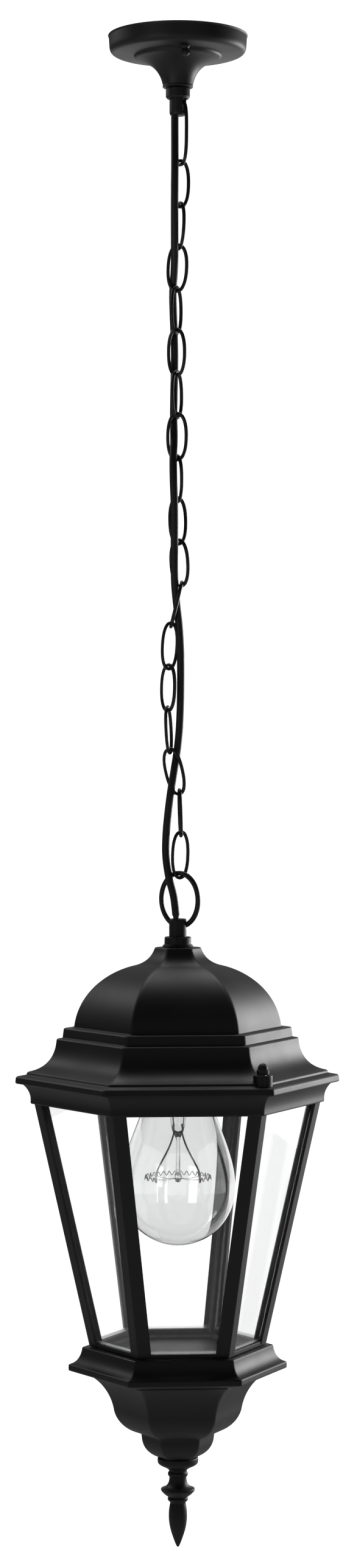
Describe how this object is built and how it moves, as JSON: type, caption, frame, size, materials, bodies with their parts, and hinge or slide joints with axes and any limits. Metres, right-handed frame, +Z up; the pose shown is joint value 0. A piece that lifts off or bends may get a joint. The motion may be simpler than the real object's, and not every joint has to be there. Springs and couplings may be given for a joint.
{
  "type": "hanging lantern",
  "caption": "Hexagonal glazed lantern with a domed roof, bowl and finial, hung from a ceiling canopy by a link chain with its cable woven through it.",
  "frame": {"origin": "centre of the ceiling plate where it meets the ceiling", "axes": "+Z up into the ceiling, lantern hanging towards -Z, -Y towards the viewer in front, +X to the viewer's right; the hexagon is turned 4.2 degrees about Z"},
  "size_m": [0.1852, 0.167, 0.8591],
  "materials": {
    "black_powder_coat": "satin black powder coat",
    "black_chain_wire": "black painted steel wire",
    "cable_sheath": "matte black sheath",
    "zinc_plated_steel": "zinc plated",
    "blackened_brass": "blackened",
    "nickel_brass": "nickel plated",
    "glazed_ceramic": "glazed",
    "clear_glass": "clear",
    "tungsten_wire": "drawn"
  },
  "bodies": {
    "canopy": {"ceiling_bracket": "zinc_plated_steel", "canopy": "black_powder_coat", "canopy_stem": "blackened_brass", "canopy_collar": "black_powder_coat", "terminal_block": "glazed_ceramic", "cable_01": "cable_sheath"},
    "canopy_screw_1": {"canopy_screw_1": "zinc_plated_steel"},
    "canopy_screw_2": {"canopy_screw_2": "zinc_plated_steel"},
    "link_01": {"chain_link_01": "black_chain_wire"},
    "link_02": {"chain_link_02": "black_chain_wire", "cable_02": "cable_sheath"},
    "link_03": {"chain_link_03": "black_chain_wire"},
    "link_04": {"chain_link_04": "black_chain_wire", "cable_03": "cable_sheath"},
    "link_05": {"chain_link_05": "black_chain_wire"},
    "link_06": {"chain_link_06": "black_chain_wire", "cable_04": "cable_sheath"},
    "link_07": {"chain_link_07": "black_chain_wire"},
    "link_08": {"chain_link_08": "black_chain_wire", "cable_05": "cable_sheath"},
    "link_09": {"chain_link_09": "black_chain_wire"},
    "link_10": {"chain_link_10": "black_chain_wire", "cable_06": "cable_sheath"},
    "link_11": {"chain_link_11": "black_chain_wire"},
    "link_12": {"chain_link_12": "black_chain_wire", "cable_07": "cable_sheath"},
    "link_13": {"chain_link_13": "black_chain_wire"},
    "link_14": {"chain_link_14": "black_chain_wire", "cable_08": "cable_sheath"},
    "link_15": {"chain_link_15": "black_chain_wire"},
    "link_16": {"chain_link_16": "black_chain_wire", "cable_09": "cable_sheath"},
    "link_17": {"chain_link_17": "black_chain_wire"},
    "link_18": {"chain_link_18": "black_chain_wire", "cable_10": "cable_sheath"},
    "ring": {"hanging_ring": "black_chain_wire"},
    "roof": {"roof": "black_powder_coat", "lantern_stem": "blackened_brass", "stem_collar": "black_powder_coat", "stem_lock_nut": "zinc_plated_steel", "lampholder_bracket": "zinc_plated_steel", "lampholder": "glazed_ceramic", "lampholder_lead": "cable_sheath"},
    "cap_nut_1": {"cap_nut_1": "blackened_brass"},
    "cap_nut_2": {"cap_nut_2": "blackened_brass"},
    "cage": {"cage_frame": "black_powder_coat", "pane_1": "clear_glass", "pane_2": "clear_glass", "pane_3": "clear_glass", "pane_4": "clear_glass", "pane_5": "clear_glass", "pane_6": "clear_glass", "tray": "black_powder_coat", "bowl": "black_powder_coat", "finial": "black_powder_coat"},
    "lamp_contact": {"lampholder_contact": "nickel_brass"},
    "lamp": {"bulb_glass": "clear_glass", "bulb_cap": "nickel_brass", "bulb_mount": "clear_glass", "bulb_filament": "tungsten_wire"}
  },
  "joints": [
    {"name": "first_link_swing", "type": "hinge", "parent": "canopy", "child": "link_01", "pos_m": [0.00199, 0.00115, -0.0376], "axis": [0.5001, -0.8656, 0.0239], "range_deg": [-4, 4], "deforming": ["cable_01"]},
    {"name": "link_02_swing", "type": "hinge", "parent": "link_01", "child": "link_02", "pos_m": [0.0017, 0, -0.07318], "axis": [0.5001, -0.8656, 0.0239], "range_deg": [-8, 8]},
    {"name": "link_03_swing", "type": "hinge", "parent": "link_02", "child": "link_03", "pos_m": [0.0012, 0, -0.09707], "axis": [0.8658, 0.5, -0.0181], "range_deg": [-8, 8], "deforming": ["cable_02"]},
    {"name": "link_04_swing", "type": "hinge", "parent": "link_03", "child": "link_04", "pos_m": [0.0002, 0, -0.12095], "axis": [0.4996, -0.866, -0.0209], "range_deg": [-8, 8]},
    {"name": "link_05_swing", "type": "hinge", "parent": "link_04", "child": "link_05", "pos_m": [-0.0009, 0, -0.14483], "axis": [0.9989, 0, -0.046], "range_deg": [-8, 8], "deforming": ["cable_03"]},
    {"name": "link_06_swing", "type": "hinge", "parent": "link_05", "child": "link_06", "pos_m": [-0.0008, 0, -0.16873], "axis": [0.5, 0.866, 0.0021], "range_deg": [-8, 8]},
    {"name": "link_07_swing", "type": "hinge", "parent": "link_06", "child": "link_07", "pos_m": [-0.0007, 0, -0.19263], "axis": [0.866, -0.5, 0.0036], "range_deg": [-8, 8], "deforming": ["cable_04"]},
    {"name": "link_08_swing", "type": "hinge", "parent": "link_07", "child": "link_08", "pos_m": [-0.0004, 0, -0.21653], "axis": [0.5, 0.866, 0.0063], "range_deg": [-8, 8]},
    {"name": "link_09_swing", "type": "hinge", "parent": "link_08", "child": "link_09", "pos_m": [-0.0006, 0, -0.24043], "axis": [1, 0, -0.0084], "range_deg": [-8, 8], "deforming": ["cable_05"]},
    {"name": "link_10_swing", "type": "hinge", "parent": "link_09", "child": "link_10", "pos_m": [-0.0003, 0, -0.26432], "axis": [0.5, -0.866, 0.0063], "range_deg": [-8, 8]},
    {"name": "link_11_swing", "type": "hinge", "parent": "link_10", "child": "link_11", "pos_m": [0.0002, 0, -0.28822], "axis": [0.857, 0.515, 0.0179], "range_deg": [-8, 8], "deforming": ["cable_06"]},
    {"name": "link_12_swing", "type": "hinge", "parent": "link_11", "child": "link_12", "pos_m": [0.0017, 0, -0.31207], "axis": [0.9045, -0.4226, 0.0569], "range_deg": [-8, 8]},
    {"name": "link_13_swing", "type": "hinge", "parent": "link_12", "child": "link_13", "pos_m": [-0.004, 0, -0.33528], "axis": [0.0339, -0.9994, -0.0083], "range_deg": [-8, 8], "deforming": ["cable_07"]},
    {"name": "link_14_swing", "type": "hinge", "parent": "link_13", "child": "link_14", "pos_m": [-0.0053, 0, -0.35915], "axis": [0.7868, 0.6157, -0.0429], "range_deg": [-8, 8]},
    {"name": "link_15_swing", "type": "hinge", "parent": "link_14", "child": "link_15", "pos_m": [-0.0058, 0, -0.38304], "axis": [0.707, -0.7071, -0.0148], "range_deg": [-8, 8], "deforming": ["cable_08"]},
    {"name": "link_16_swing", "type": "hinge", "parent": "link_15", "child": "link_16", "pos_m": [-0.0046, 0, -0.40691], "axis": [0.2753, 0.9613, 0.0138], "range_deg": [-8, 8]},
    {"name": "link_17_swing", "type": "hinge", "parent": "link_16", "child": "link_17", "pos_m": [0.0009, 0, -0.43017], "axis": [0.8747, -0.4384, 0.2068], "range_deg": [-8, 8], "deforming": ["cable_09"]},
    {"name": "link_18_swing", "type": "hinge", "parent": "link_17", "child": "link_18", "pos_m": [0.0017, 0, -0.45406], "axis": [0.0871, -0.9962, 0.0029], "range_deg": [-8, 8]},
    {"name": "ring_swing", "type": "hinge", "parent": "link_18", "child": "ring", "pos_m": [0.001, 0, -0.47795], "axis": [0.8287, 0.5592, -0.0243], "range_deg": [-8, 8], "deforming": ["cable_10"]},
    {"name": "lantern_swing", "type": "hinge", "parent": "ring", "child": "roof", "pos_m": [0.00101, 0.00217, -0.50561], "axis": [0.9063, -0.4213, -0.0327], "range_deg": [-8, 8]},
    {"name": "canopy_screw_1_turn", "type": "hinge", "parent": "canopy", "child": "canopy_screw_1", "pos_m": [0.00421, -0.02819, -0.0116], "axis": [0, 0, 1], "continuous": true},
    {"name": "canopy_screw_2_turn", "type": "hinge", "parent": "canopy", "child": "canopy_screw_2", "pos_m": [-0.00421, 0.02819, -0.0116], "axis": [0, 0, 1], "continuous": true},
    {"name": "cap_nut_1_turn", "type": "hinge", "parent": "roof", "child": "cap_nut_1", "pos_m": [0.04654, -0.06848, -0.59051], "axis": [0, 0, 1], "continuous": true},
    {"name": "cap_nut_2_turn", "type": "hinge", "parent": "roof", "child": "cap_nut_2", "pos_m": [-0.04654, 0.06848, -0.59051], "axis": [0, 0, 1], "continuous": true},
    {"name": "cage_lowering", "type": "slide", "parent": "roof", "child": "cage", "axis": [0, 0, -1], "range_m": [0, 0.06]},
    {"name": "lamp_contact_travel", "type": "slide", "parent": "roof", "child": "lamp_contact", "axis": [0, 0, 1], "range_m": [-0.0018, 0]},
    {"name": "lamp_turn", "type": "hinge", "parent": "lamp_contact", "child": "lamp", "pos_m": [0, 0, -0.59051], "axis": [0, 0, -1], "range_deg": [0, 178]}
  ],
  "couplings": [
    {"joint": "lamp_contact_travel", "follows": "lamp_turn", "m_per_rad": -0.000576}
  ]
}
